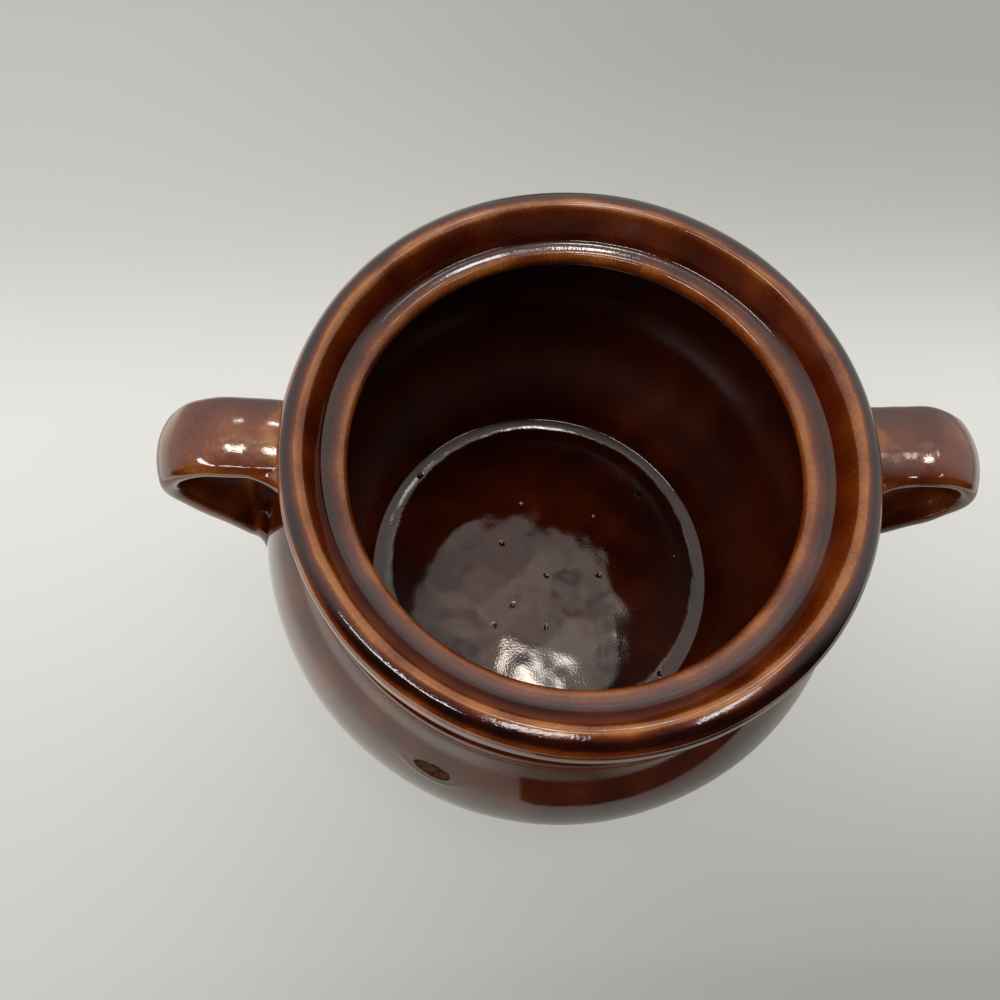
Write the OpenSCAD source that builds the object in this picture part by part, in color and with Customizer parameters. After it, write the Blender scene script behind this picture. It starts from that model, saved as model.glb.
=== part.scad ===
// Bean pot: a round-bellied stoneware pot with a lid seat inside its rim and two strap handles.
// The pot stands on its foot at z = 0, its axis is Z, and the handles point along -X and +X.
// All sizes are in millimetres.

/* [Mouth and rim] */
// Overall height, from the foot to the crest of the rim
pot_height = 126; // [112:1:150]
// Diameter of the round throat below the lid seat
throat_d = 120.4; // [105:0.1:140]
// Rounding of the lip between the throat and the lid seat
lip_round = 2.9; // [1:0.1:4]
// Width of the flat lid seat
seat_w = 3; // [1.5:0.1:6]
// Depth of the lid seat below the crest
seat_depth = 9.2; // [6:0.1:14]
// Lean of the face that rises from the lid seat to the crest, from upright
riser_lean = 28; // [10:1:40]
// Rounding of the crest
crest_round = 2.3; // [1.5:0.1:3.5]
// How far the rim stands out beyond the middle of the crest
rim_over = 6.1; // [4.5:0.1:9]
// Rounding of the upper outer corner of the rim
rim_corner = 4; // [2:0.1:4.6]
// Drop from the crest to the middle of that corner's rounding
corner_drop = 4.8; // [4:0.1:5.5]
// Height of the rim, from its lower edge to the crest
rim_h = 8.6; // [7.5:0.1:14]

/* [Neck] */
// How far the neck is set in from the rim
neck_in = 3.3; // [1:0.1:5]
// Height of the neck, from the rim's lower edge to the bead at its foot
neck_h = 21; // [17:0.5:28]
// Rounding of the bead
bead_round = 1.2; // [0.8:0.1:1.6]
// How far the bead stands out from the neck
bead_out = 2.4; // [1.6:0.1:4]
// Height of the slope that leads from the neck to the bead
bead_slope_h = 5; // [2:0.5:8]
// Depth of the line cut below the bead
line_depth = 1; // [0.3:0.1:2]
// Height of the line cut below the bead
line_h = 1.4; // [0.8:0.1:2.5]

/* [Belly] */
// How far the shoulder stands out from the neck, just below the cut line
shoulder_out = 2.1; // [1:0.1:4]
// How far the widest part of the belly stands out from the shoulder
belly_bulge = 11.1; // [6:0.1:18]
// Height of the widest part of the belly
belly_z = 55; // [42:1:66]
// Thickness of the wall at the belly
wall = 7.5; // [5:0.1:10]
// How far the foot is drawn in from the widest part of the belly
foot_draw = 21.9; // [12:0.1:30]

/* [Floor and foot] */
// Thickness of the floor at its middle and over the foot
floor_t = 8; // [6:0.1:14]
// Diameter of the flat part of the floor inside
floor_d = 108; // [90:1:118]
// Rounding between the floor and the wall inside
floor_round = 6; // [3:0.5:10]
// Width and height of the bevel round the foot
foot_bevel = 2; // [1:0.1:3]
// Width of the ring that the pot stands on
foot_ring_w = 7; // [4:0.5:12]
// Depth of the hollow inside that ring
foot_hollow = 1.5; // [0.5:0.1:3]

/* [Handles] */
// Width of the strap
handle_w = 23; // [14:0.1:30]
// Thickness of the strap
handle_t = 8.3; // [6:0.1:10]
// How far the handles stand out beyond the rim
handle_out = 35.1; // [28:0.1:45]
// Gap between the rim's lower edge and the top of the strap at the neck
handle_gap = 2.3; // [1:0.1:5]
// Rise of the upper run of the strap, in degrees
handle_rise = 6; // [0:0.5:8]
// Radius of the bend, at the middle of the strap
handle_bend = 13.2; // [11:0.1:16]
// Lean of the lower run of the strap, from upright
handle_lean = 30; // [26:1:45]
// How far behind the pot's axis the two handles are stuck on
handle_set_back = 6.5; // [0:0.5:12]

/* [Hidden] */
$fn = 128;
glaze_brown = [0.29, 0.13, 0.06];
handle_brown = [0.36, 0.17, 0.08];
// Angle between two points of the profile, on its small roundings and on the belly
round_step = 15;
belly_step = 5;

// Heights
seat_z = pot_height - seat_depth;
crest_z = pot_height - crest_round;
corner_z = pot_height - corner_drop;
rim_low_z = pot_height - rim_h;
bead_z = rim_low_z - neck_h;
line_z = bead_z - bead_round - line_h / 2;
shoulder_z = line_z - line_h / 2;

// Radii, worked outwards from the throat
throat_r = throat_d / 2;
seat_in_r = throat_r + lip_round;
seat_out_r = seat_in_r + seat_w;
riser_top_z = crest_z + crest_round * sin(riser_lean);
crest_r = seat_out_r + (riser_top_z - seat_z) * tan(riser_lean) + crest_round * cos(riser_lean);
rim_r = crest_r + rim_over;
neck_r = rim_r - neck_in;
bead_r = neck_r + bead_out - bead_round;
shoulder_r = neck_r + shoulder_out;
belly_r = shoulder_r + belly_bulge;
belly_in_r = belly_r - wall;
foot_r = belly_r - foot_draw;
foot_edge_r = foot_r - foot_bevel;
foot_hollow_r = foot_edge_r - foot_ring_w;
floor_r = floor_d / 2;

// The belly is two arcs that share an upright tangent at its widest part
function arc_radius(drop, rise) = (drop * drop + rise * rise) / (2 * drop);
upper_arc = arc_radius(belly_bulge, shoulder_z - belly_z);
lower_arc = arc_radius(foot_draw, belly_z - foot_bevel);
upper_arc_r = belly_r - upper_arc;
lower_arc_r = belly_r - lower_arc;
upper_turn = asin((shoulder_z - belly_z) / upper_arc);
lower_turn = asin((belly_z - foot_bevel) / lower_arc);
// Inside, the upper arc runs parallel to the outside and the lower arc meets the rounding of the floor
upper_in_arc = upper_arc - wall;
throat_turn = acos((throat_r - upper_arc_r) / upper_in_arc);
floor_round_z = floor_t + floor_round;
floor_in = belly_in_r - floor_r;
floor_fall = belly_z - floor_round_z;
lower_in_arc = (pow(floor_in, 2) + pow(floor_fall, 2) - pow(floor_round, 2))
    / (2 * (floor_in - floor_round));
lower_in_arc_r = belly_in_r - lower_in_arc;
floor_turn = asin(floor_fall / (lower_in_arc - floor_round));

// Angle, from level, at which the crest runs over into the rim's outer corner
corner_dr = rim_r - rim_corner - crest_r;
corner_dz = corner_z - crest_z;
corner_gap = norm([corner_dr, corner_dz]);
crest_turn = atan2(corner_dz, corner_dr) + acos((crest_round - rim_corner) / corner_gap);

// Handle loop, in the plane that both handles share
bend_x = rim_r + handle_out - handle_t / 2 - handle_bend;
strap_root_z = rim_low_z - handle_gap - handle_t / 2;
bend_z = strap_root_z + (bend_x - neck_r) * tan(handle_rise) - handle_bend / cos(handle_rise);
upper_run = (bend_x - neck_r + wall) / cos(handle_rise);
lower_run = (bend_x + handle_bend * cos(handle_lean) - belly_r + 2 * wall) / sin(handle_lean);
// The straight runs start a little way inside the bend, and are slimmer than it by this on each face
run_lap = 0.5;
run_slim = 0.05;

// Points on an arc about a centre, from one angle to another
function arc(centre, radius, from, to, step = round_step) =
    let (steps = max(2, ceil(abs(to - from) / step)))
    [for (i = [0 : steps])
        let (a = from + (to - from) * i / steps)
        [centre[0] + radius * cos(a), centre[1] + radius * sin(a)]];

// Outside of the pot, from the foot up to the crest
function outside() = concat(
    [[foot_edge_r, 0]],
    arc([lower_arc_r, belly_z], lower_arc, -lower_turn, 0, belly_step),
    arc([upper_arc_r, belly_z], upper_arc, belly_step, upper_turn, belly_step),
    [[shoulder_r - line_depth, line_z]],
    arc([bead_r, bead_z], bead_round, -60, 45),
    [[neck_r, bead_z + bead_slope_h]],
    arc([neck_r + neck_in / 2, rim_low_z - neck_in / 2], neck_in / 2, 180, 90),
    arc([rim_r - neck_in / 2, rim_low_z + neck_in / 2], neck_in / 2, -75, 0),
    arc([rim_r - rim_corner, corner_z], rim_corner, 0, crest_turn),
    arc([crest_r, crest_z], crest_round, crest_turn, 90)
);

// Inside of the pot, from the crest down to the middle of the floor
function inside() = concat(
    arc([crest_r, crest_z], crest_round, 90 + round_step, 180 - riser_lean),
    [[seat_out_r, seat_z]],
    arc([seat_in_r, seat_z - lip_round], lip_round, 90, 180),
    arc([upper_arc_r, belly_z], upper_in_arc, throat_turn, belly_step, belly_step),
    arc([lower_in_arc_r, belly_z], lower_in_arc, 0, -floor_turn, belly_step),
    arc([floor_r, floor_round_z], floor_round, -(floor_turn + 90) / 2, -90),
    [[0, floor_t]]
);

// Hollow under the pot, inside the ring that it stands on
function underside() = [
    [0, foot_hollow],
    [foot_hollow_r - foot_hollow, foot_hollow],
    [foot_hollow_r, 0]
];

// The space that the pot takes up, filled in, which the ends of the handles are fitted to
module pot_envelope() {
    rotate_extrude()
        polygon(concat([[0, 0]], outside(), [[0, pot_height]]));
}

// Section of the strap: thickness along X, width along Y, with round edges
module strap_section(slim = 0) {
    edge_d = handle_t - 2 * slim;
    edge_y = (handle_w - handle_t) / 2;
    square([edge_d, 2 * edge_y], center = true);
    for (side = [-1, 1])
        translate([0, side * edge_y])
            circle(d = edge_d);
}

// A straight run of the strap, along +Z from its start just inside the bend
module strap_run(run) {
    translate([0, 0, -run_lap])
        linear_extrude(run + run_lap)
            strap_section(run_slim);
}

// Upper run, bend and lower run of the strap, before its ends are fitted to the pot
module strap_loop() {
    translate([bend_x, handle_set_back, bend_z])
        rotate([90, 0, 0]) {
            rotate([0, 0, 90 + handle_rise])
                translate([handle_bend, 0, 0])
                    rotate([-90, 0, 0])
                        strap_run(upper_run);
            rotate([0, 0, -handle_lean])
                rotate_extrude(angle = 90 + handle_rise + handle_lean)
                    translate([handle_bend, 0])
                        strap_section();
            rotate([0, 0, -handle_lean])
                translate([handle_bend, 0, 0])
                    rotate([90, 0, 0])
                        strap_run(lower_run);
        }
}

// The strap with both ends fitted to the pot, on the +X side
module strap_handle() {
    difference() {
        strap_loop();
        pot_envelope();
    }
}

// Base, belly, neck, lid seat and rim, in one wall
module pot_body() {
    color(glaze_brown)
        rotate_extrude()
            polygon(concat(underside(), outside(), inside()));
}

// Handle on the -X side
module left_handle() {
    color(handle_brown)
        mirror([1, 0, 0])
            strap_handle();
}

// Handle on the +X side
module right_handle() {
    color(handle_brown)
        strap_handle();
}

pot_body();
left_handle();
right_handle();
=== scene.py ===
"""A brown-glazed stoneware bean pot with two strap handles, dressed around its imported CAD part."""

import math

import bpy
import numpy as np
from mathutils import Matrix, Quaternion, Vector


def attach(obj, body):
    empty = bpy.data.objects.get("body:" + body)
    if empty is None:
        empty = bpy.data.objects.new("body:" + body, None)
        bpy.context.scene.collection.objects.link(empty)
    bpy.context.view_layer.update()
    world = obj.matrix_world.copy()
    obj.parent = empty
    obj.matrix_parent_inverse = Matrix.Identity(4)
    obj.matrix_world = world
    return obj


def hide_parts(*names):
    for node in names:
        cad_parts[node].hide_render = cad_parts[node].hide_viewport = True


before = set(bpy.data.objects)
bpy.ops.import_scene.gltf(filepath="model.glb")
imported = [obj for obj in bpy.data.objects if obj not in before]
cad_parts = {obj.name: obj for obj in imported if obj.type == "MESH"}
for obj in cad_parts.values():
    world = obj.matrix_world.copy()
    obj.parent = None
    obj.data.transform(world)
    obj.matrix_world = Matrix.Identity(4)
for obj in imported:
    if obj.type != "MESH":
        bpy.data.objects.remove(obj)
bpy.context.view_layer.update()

# Sizes are in millimetres until a mesh is made
MM = 0.001

# Mouth and rim
POT_HEIGHT = 126.0
THROAT_R = 60.2
LIP_ROUND = 2.9
# Below the lip the wall falls back by this angle past upright, and meets the belly's arc at this angle
LIP_UNDER = 30.0
THROAT_END = 18.0
SEAT_Z = 116.8
SEAT_OUT_R = 66.05
SEAT_COVE = 3.6
CREST_R = 72.3
CREST_ROUND = 2.3
RISER_LEAN = 28.0
RIM_R = 78.45
RIM_LOW_Z = 117.4
RIM_EDGE = 1.0
# Angle at which the rounding of the rim's lower edge starts
RIM_UNDER = -80.0
CORNER_R = 73.2
CORNER_Z = 120.7
CORNER_ROUND = 5.0
FACE_LEAN = 6.0

# Neck and bead
NECK_R = 75.2
NECK_COVE = 1.4
BEAD_R = 76.4
BEAD_Z = 96.4
BEAD_ROUND = 1.2
BEAD_SPAN = (-55.0, 50.0)
BEAD_SLOPE_H = 5.0
BEAD_SLOPE_SPAN = (228.0, 180.0)
LINE_Z = 94.5
LINE_DEPTH = 0.6

# Belly, floor and foot
BELLY_R = 88.4
BELLY_Z = 55.0
SHOULDER_R = 77.3
SHOULDER_Z = 93.8
WALL = 7.5
FOOT_R = 66.5
FOOT_BEVEL = 2.0
FOOT_RING_W = 7.0
FOOT_HOLLOW = 1.5
FLOOR_Z = 8.0
FLOOR_R = 54.0
FLOOR_ROUND = 6.0
# Inside, the wall turns sharply into a broad cove, and the floor bulges up a little from there
WALL_END = 52.0
FLOOR_CORNER = 3.0
FLOOR_COVE = 19.0
COVE_SLOPE = 20.0
DOME_SLOPE = 5.0

# Handles
STRAP_T = 8.3
STRAP_CROWN_R = 30.0
STRAP_ROOT_Z = 110.9
STRAP_BEND = 13.2
STRAP_LEAN = 30.0
# The two handles: name, side, node, then reach, slope, width, set back and how far the bend sways forward
HANDLES = [
    ("left_strap", -1, "left_handle", (113.0, 5.5, 22.5, 6.2, 0.4)),
    ("right_strap", 1, "right_handle", (114.2, 6.5, 23.6, 6.4, 1.6)),
]
# How far inside the neck a strap's middle starts, and the length of its straight run down to the belly
STRAP_START = 2.0
STRAP_LOWER = 45.0
# Where the sway forward comes and goes along a strap, from its outermost place
SWAY_COMES = (-26.0, 4.0)
SWAY_GOES = (8.0, 36.0)
# Share of its width that a strap loses at the bend, at its back and its front edge, and how far along
NARROW_BACK = 0.24
NARROW_FRONT = 0.06
NARROW_LENGTH = 14.0
# How far from the wall each side of a strap starts to spread, at the neck and then at the belly
FLARE_FRONT = (13.0, 3.5)
FLARE_BACK = (3.0, 3.5)
FLARE_TOP = (2.0, 1.5)
FLARE_UNDER = (8.0, 5.0)
FLARE_SHARE = 0.6
# Unevenness of the straps, as ripples of a size, wavelength and seed: all round, and long ones across
STRAP_RIPPLES = [(0.10, 26.0, 21)]
CROSS_RIPPLES = [(0.06, 9.0, 31)]
CROSS_STRETCH = (1.0, 0.25, 1.0)
# Length and depth of the marks that fingers left along the straps, and how they wander
MARK_LENGTH = 9.5
MARK_DEPTH = 0.08
MARK_WANDER = [(1.0, 30.0, 35)]
# How deep the ends of the straps go into the wall
SUNK_DEPTH = 1.5
# Heights between which the straps can meet the wall, and the steepest lean of it that counts
MEETING_HEIGHTS = (30.0, RIM_LOW_Z - 0.5)
LEAN_LIMIT = 0.8

# Fineness of the meshes
TURN_STEPS = 512
FINE_STEPS = 56
STRAP_SPACING = 0.5
BEND_SPACING = 0.7


def smooth(low, high, x):
    """0 below low, 1 above high, with an even turn between them."""
    t = np.clip((x - low) / (high - low), 0.0, 1.0)
    return t * t * (3.0 - 2.0 * t)


def hump(x, rise, fall):
    """1 between two turns and 0 outside them, where a turn is (start, end)."""
    return smooth(*rise, x) * (1.0 - smooth(*fall, x))


def bell(x, middle, width):
    """A rounded peak of 1 that falls away on both sides of its middle."""
    return np.exp(-(((x - middle) / width) ** 2))


def ripple(points, wavelength, seed, waves=28):
    """Gentle random unevenness of about that wavelength at each point, near -1 to 1."""
    rng = np.random.default_rng(seed)
    heading = rng.normal(size=(waves, 3))
    heading /= np.linalg.norm(heading, axis=1)[:, None]
    pace = 2.0 * math.pi / (wavelength * rng.uniform(0.7, 1.5, waves))
    phase = rng.uniform(0.0, 2.0 * math.pi, waves)
    total = np.zeros(len(points))
    for k in range(waves):
        total += np.cos(points @ heading[k] * pace[k] + phase[k])
    return total / math.sqrt(waves)


def uneven(points, kinds, side=0):
    """Sum of ripples, each given by its size, wavelength and seed."""
    return sum(size * ripple(points, wavelength, seed + side) for size, wavelength, seed in kinds)


def arc(centre, radius, start, end, spacing):
    """Points along an arc, from one angle to another in degrees."""
    steps = max(3, math.ceil(abs(math.radians(end - start)) * radius / spacing))
    angles = np.radians(np.linspace(start, end, steps + 1))
    return np.stack([centre[0] + radius * np.cos(angles), centre[1] + radius * np.sin(angles)], axis=1)


def line(start, end, spacing):
    """Points along a straight stretch, with both ends."""
    steps = max(1, math.ceil(math.dist(start, end) / spacing))
    return np.linspace(start, end, steps + 1)


def belly_arc(inset, height):
    """Centre radius and radius of the arc that leaves the belly upright and ends that far in."""
    radius = (inset**2 + height**2) / (2.0 * inset)
    return BELLY_R - radius, radius


def bend(start, corner, end, spacing):
    """Points on a smooth turn from one place to another, drawn towards a corner."""
    steps = max(3, math.ceil((math.dist(start, corner) + math.dist(corner, end)) / spacing))
    t = np.linspace(0.0, 1.0, steps + 1)[:, None]
    return (1 - t) ** 2 * np.array(start) + 2 * t * (1 - t) * np.array(corner) + t**2 * np.array(end)


def on_circle(centre, radius, angle):
    """The point of a circle at an angle in degrees."""
    a = math.radians(angle)
    return centre[0] + radius * math.cos(a), centre[1] + radius * math.sin(a)


def meeting(first, first_way, second, second_way):
    """Where two straight lines meet, each through a place and at an angle in degrees."""
    a, b = math.radians(first_way), math.radians(second_way)
    across = np.array([[math.cos(a), -math.cos(b)], [math.sin(a), -math.sin(b)]])
    ahead = np.linalg.solve(across, np.array(second) - np.array(first))[0]
    return first[0] + ahead * math.cos(a), first[1] + ahead * math.sin(a)


# A chipped flaw in the glaze, on the front left of the shoulder: pointed to the left, blunt to the right
FLAW_PLACE = (-37.8, -75.4, 78.3)
FLAW_LONG = 6.0
FLAW_BLUNT = 5.0
FLAW_HIGH = 3.6
FLAW_DEPTH = 0.5
# Its outline's power at the pointed and the blunt end, its steepness, and its value past its reach
LONG_POWER = 1.8
BLUNT_POWER = 2.3
FLAW_STEEP = 0.55
FLAW_REACH = 4.0 * FLAW_LONG
FLAW_FAR = 9.0
# Where its edge starts to rise, and a low ridge outside it: height, place, width and where it comes
FLAW_EDGE = 0.80
RIDGE_HIGH = 0.14
RIDGE_AT = 1.32
RIDGE_WIDE = 0.14
RIDGE_COMES = (-1.0, 2.5)
# How much deeper the glaze is along its edge, and how wide
EDGE_DEEPER = 0.3
EDGE_WIDE = 0.08
# Darkness of its broken clay: the base, ripples, the edge and the upper left
TONE_BASE = 0.30
TONE_RIPPLES = [(0.16, 2.4, 53)]
TONE_EDGE = 0.40
TONE_EDGE_FROM = (0.86, 0.98)
TONE_CORNER = 0.40
TONE_UP = (0.2, 2.2)
TONE_LEFT = (-2.0, 1.6)
# A crack and a small ring in it
CRACK_TONE = 0.60
CRACK_AT = 1.1
CRACK_LEAN = 0.35
CRACK_WIDE = 0.22
RING_TONE = 0.50
RING_AT = (2.5, -0.2)
RING_R = 1.2
RING_WIDE = 0.2
# Stretch of the belly's upper arc, in degrees, and of the turn round the axis, that the flaw needs finer
FLAW_BAND = (12.5, 25.5)
FLAW_SPAN = 6.5


def pot_profile():
    """The pot's section from the middle of its underside, up the outside and down the inside."""
    upper_c, upper = belly_arc(BELLY_R - SHOULDER_R, SHOULDER_Z - BELLY_Z)
    lower_c, lower = belly_arc(BELLY_R - FOOT_R, BELLY_Z - FOOT_BEVEL)
    foot_turn = math.degrees(math.asin((BELLY_Z - FOOT_BEVEL) / lower))
    shoulder_turn = math.degrees(math.asin((SHOULDER_Z - BELLY_Z) / upper))
    inner = upper - WALL
    fall = BELLY_Z - FLOOR_Z - FLOOR_ROUND
    run = BELLY_R - WALL - FLOOR_R
    floor_arc = (run**2 + fall**2 - FLOOR_ROUND**2) / (2.0 * (run - FLOOR_ROUND))
    wall_c = (BELLY_R - WALL - floor_arc, BELLY_Z)
    lip_at = (THROAT_R + LIP_ROUND, SEAT_Z - LIP_ROUND)
    lip_end = on_circle(lip_at, LIP_ROUND, 180.0 + LIP_UNDER)
    wall_start = on_circle((upper_c, BELLY_Z), inner, THROAT_END)
    throat_corner = meeting(lip_end, LIP_UNDER - 90.0, wall_start, THROAT_END + 90.0)
    corner_at = on_circle(wall_c, floor_arc - FLOOR_CORNER, -WALL_END)
    cove_angle = COVE_SLOPE - 90.0
    cove_at = on_circle(on_circle(corner_at, FLOOR_CORNER, cove_angle), FLOOR_COVE, cove_angle + 180.0)
    moat = on_circle(cove_at, FLOOR_COVE, -90.0 - DOME_SLOPE)
    dome = moat[0] / math.sin(math.radians(DOME_SLOPE))
    dome_at = (0.0, moat[1] - dome * math.cos(math.radians(DOME_SLOPE)))
    crest_z = POT_HEIGHT - CREST_ROUND
    gap = math.dist((CREST_R, crest_z), (CORNER_R, CORNER_Z))
    crest_turn = math.degrees(
        math.atan2(CORNER_Z - crest_z, CORNER_R - CREST_R) + math.acos((CREST_ROUND - CORNER_ROUND) / gap)
    )
    riser_top = on_circle((CREST_R, crest_z), CREST_ROUND, 180.0 - RISER_LEAN)
    cove_turn = 90.0 - RISER_LEAN
    cove_r = SEAT_OUT_R - SEAT_COVE * math.tan(math.radians(cove_turn / 2.0))
    riser_foot = on_circle((cove_r, SEAT_Z + SEAT_COVE), SEAT_COVE, -RISER_LEAN)
    ring_in_r = FOOT_R - FOOT_BEVEL - FOOT_RING_W
    line_r = SHOULDER_R - LINE_DEPTH
    slope_at = (NECK_R + BEAD_SLOPE_H, BEAD_Z + BEAD_SLOPE_H + BEAD_ROUND)
    # Each stretch ends with the spacing of its points, and most stop a little short of the next
    stretches = [
        line((0.0, FOOT_HOLLOW), (ring_in_r - 3.0, FOOT_HOLLOW), 3.0),
        line((ring_in_r - FOOT_HOLLOW, FOOT_HOLLOW - 0.4), (ring_in_r, 0.0), 0.8),
        line((ring_in_r + 0.8, 0.0), (FOOT_R - FOOT_BEVEL - 0.6, 0.0), 1.5),
        arc((lower_c, BELLY_Z), lower, -foot_turn, 0.0, 1.2),
        arc((upper_c, BELLY_Z), upper, 1.0, FLAW_BAND[0], 1.0),
        arc((upper_c, BELLY_Z), upper, FLAW_BAND[0] + 0.3, FLAW_BAND[1], 0.35),
        arc((upper_c, BELLY_Z), upper, FLAW_BAND[1] + 0.7, shoulder_turn, 1.0),
        line((line_r + 0.5 * LINE_DEPTH, LINE_Z - 0.25), (line_r, LINE_Z + 0.15), 0.3),
        arc((BEAD_R, BEAD_Z), BEAD_ROUND, *BEAD_SPAN, 0.25),
        arc(slope_at, BEAD_SLOPE_H, *BEAD_SLOPE_SPAN, 0.5),
        line((NECK_R, BEAD_Z + BEAD_SLOPE_H + 2.0), (NECK_R, RIM_LOW_Z - NECK_COVE - 0.6), 0.8),
        arc((NECK_R + NECK_COVE, RIM_LOW_Z - NECK_COVE), NECK_COVE, 180.0, 90.0, 0.25),
        arc((RIM_R - RIM_EDGE, RIM_LOW_Z + RIM_EDGE), RIM_EDGE, RIM_UNDER, FACE_LEAN, 0.25),
        arc((CORNER_R, CORNER_Z), CORNER_ROUND, FACE_LEAN, crest_turn, 0.3),
        arc((CREST_R, crest_z), CREST_ROUND, crest_turn, 180.0 - RISER_LEAN, 0.25),
        line(riser_top, riser_foot, 0.5)[1:-1],
        arc((cove_r, SEAT_Z + SEAT_COVE), SEAT_COVE, -RISER_LEAN, -90.0, 0.25),
        line((cove_r - 0.3, SEAT_Z), (THROAT_R + LIP_ROUND + 0.2, SEAT_Z), 0.4),
        arc(lip_at, LIP_ROUND, 90.0, 180.0 + LIP_UNDER, 0.3),
        bend(lip_end, throat_corner, wall_start, 0.8)[1:],
        arc((upper_c, BELLY_Z), inner, THROAT_END - 1.0, 0.0, 1.4),
        arc(wall_c, floor_arc, -1.5, -WALL_END + 0.6, 1.2),
        arc(corner_at, FLOOR_CORNER, -WALL_END, cove_angle, 0.3),
        arc(cove_at, FLOOR_COVE, cove_angle - 1.0, -90.0 - DOME_SLOPE, 0.4),
        arc(dome_at, dome, 90.0 - DOME_SLOPE + 0.06, 90.0, 0.55),
    ]
    return np.concatenate(stretches)


def along(section):
    """Distance along a section from its start, at each of its points."""
    return np.concatenate([[0.0], np.cumsum(np.linalg.norm(np.diff(section, axis=0), axis=1))])


def outward(section):
    """Direction square to a section at each of its points, pointing out of the clay."""
    way = np.gradient(section, axis=0)
    way /= np.linalg.norm(way, axis=1)[:, None]
    return np.stack([way[:, 1], -way[:, 0]], axis=1)


def station(section, place):
    """Distance along a section of the point nearest to a place."""
    return along(section)[np.argmin(np.linalg.norm(section - np.array(place), axis=1))]


def on_corner(tilt):
    """The place on the rim's outer rounding that leans outwards by that many degrees."""
    return on_circle((CORNER_R, CORNER_Z), CORNER_ROUND, 90.0 - tilt)


# Depth of the glaze at places (out, up) along the section: 0 is thin and tan, 1 is pooled and nearly black
GLAZE_PLACES = [
    ((FOOT_R, FOOT_BEVEL), 0.50),
    ((BELLY_R, BELLY_Z), 0.58),
    ((SHOULDER_R + 1.5, SHOULDER_Z - 2.5), 0.57),
    ((SHOULDER_R - LINE_DEPTH, LINE_Z + 0.2), 0.52),
    ((BEAD_R + BEAD_ROUND, BEAD_Z), 0.42),
    ((NECK_R + 0.3, BEAD_Z + BEAD_SLOPE_H), 0.60),
    ((NECK_R, RIM_LOW_Z - 4.0), 0.62),
    ((NECK_R + 0.3, RIM_LOW_Z - 0.5), 0.85),
    ((RIM_R - 0.4, RIM_LOW_Z + 0.4), 0.36),
    ((RIM_R - 0.2, RIM_LOW_Z + 3.0), 0.30),
    (on_corner(75.0), 0.31),
    (on_corner(58.0), 0.31),
    (on_corner(47.0), 0.38),
    (on_corner(40.0), 0.62),
    (on_corner(33.0), 0.90),
    (on_corner(24.0), 0.93),
    (on_corner(18.0), 0.84),
    ((CREST_R + 0.9, POT_HEIGHT - 0.2), 0.34),
    ((CREST_R + 0.3, POT_HEIGHT), 0.18),
    ((CREST_R - 1.2, POT_HEIGHT - 0.3), 0.26),
    ((CREST_R - 2.1, POT_HEIGHT - 1.5), 0.45),
    ((CREST_R - 2.9, POT_HEIGHT - 2.9), 0.50),
    ((SEAT_OUT_R + 1.4, SEAT_Z + 2.6), 0.59),
    ((SEAT_OUT_R - 1.0, SEAT_Z + 0.7), 0.76),
    ((THROAT_R + LIP_ROUND + 0.4, SEAT_Z), 0.52),
    ((THROAT_R + LIP_ROUND * 0.65, SEAT_Z - LIP_ROUND * 0.06), 0.24),
    ((THROAT_R + LIP_ROUND * 0.25, SEAT_Z - LIP_ROUND * 0.34), 0.31),
    ((THROAT_R, SEAT_Z - LIP_ROUND + 0.3), 0.46),
    # Inside, from under the lip down the wall, the depth is set darker: partly pooled glaze, partly painted
    # shade of the pot's inside, near-black under the throat
    ((THROAT_R + 0.1, SEAT_Z - LIP_ROUND - 1.2), 0.80),
    ((THROAT_R + 1.0, SEAT_Z - LIP_ROUND - 5.0), 0.98),
    ((THROAT_R + 6.0, 97.0), 0.88),
    ((BELLY_R - WALL, BELLY_Z + 8.0), 0.66),
    ((BELLY_R - WALL - 6.0, BELLY_Z - 28.0), 0.64),
    ((FLOOR_R + FLOOR_ROUND, FLOOR_Z + 4.0), 0.66),
    ((FLOOR_R - 6.0, FLOOR_Z + 0.5), 0.76),
    ((FLOOR_R - 20.0, FLOOR_Z + 2.0), 0.64),
    ((0.0, FLOOR_Z + 2.5), 0.58),
]


def glaze_depth(section, lengths):
    """Depth of the pot's glaze at those distances along its section, with painted shade inside the pot."""
    places = [station(section, place) for place, level in GLAZE_PLACES]
    return np.interp(lengths, places, [level for place, level in GLAZE_PLACES])


def add_mesh(name, points, faces, glaze_values, materials, face_slots=None):
    """A smooth-shaded mesh piece from points in millimetres, which keep the values of its glaze."""
    mesh = bpy.data.meshes.new(name)
    mesh.from_pydata((points * MM).tolist(), [], faces)
    mesh.polygons.foreach_set("use_smooth", np.ones(len(mesh.polygons), dtype=bool))
    for key, values in glaze_values.items():
        mesh.attributes.new(key, "FLOAT", "POINT").data.foreach_set("value", values.astype(np.float32))
    for material in materials:
        mesh.materials.append(material)
    if face_slots is not None:
        mesh.polygons.foreach_set("material_index", face_slots)
    mesh.update()
    piece = bpy.data.objects.new(name, mesh)
    bpy.context.scene.collection.objects.link(piece)
    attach(piece, "root")
    return piece


def grid_faces(rings, around):
    """Four-sided faces between closed rings of points that follow one another."""
    start = np.arange(rings - 1)[:, None] * around
    here = np.arange(around)[None, :]
    after = (here + 1) % around
    quads = np.stack([start + here, start + after, start + around + after, start + around + here], axis=-1)
    return quads.reshape(-1, 4).tolist()


def dents(points, places, radius, depth):
    """Depth of round-bottomed dents at each point."""
    total = np.zeros(len(points))
    for place in places:
        away = np.linalg.norm(points - np.array(place), axis=1) / radius
        total = np.maximum(total, depth * np.clip(1.0 - away**2, 0.0, 1.0))
    return total


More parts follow.
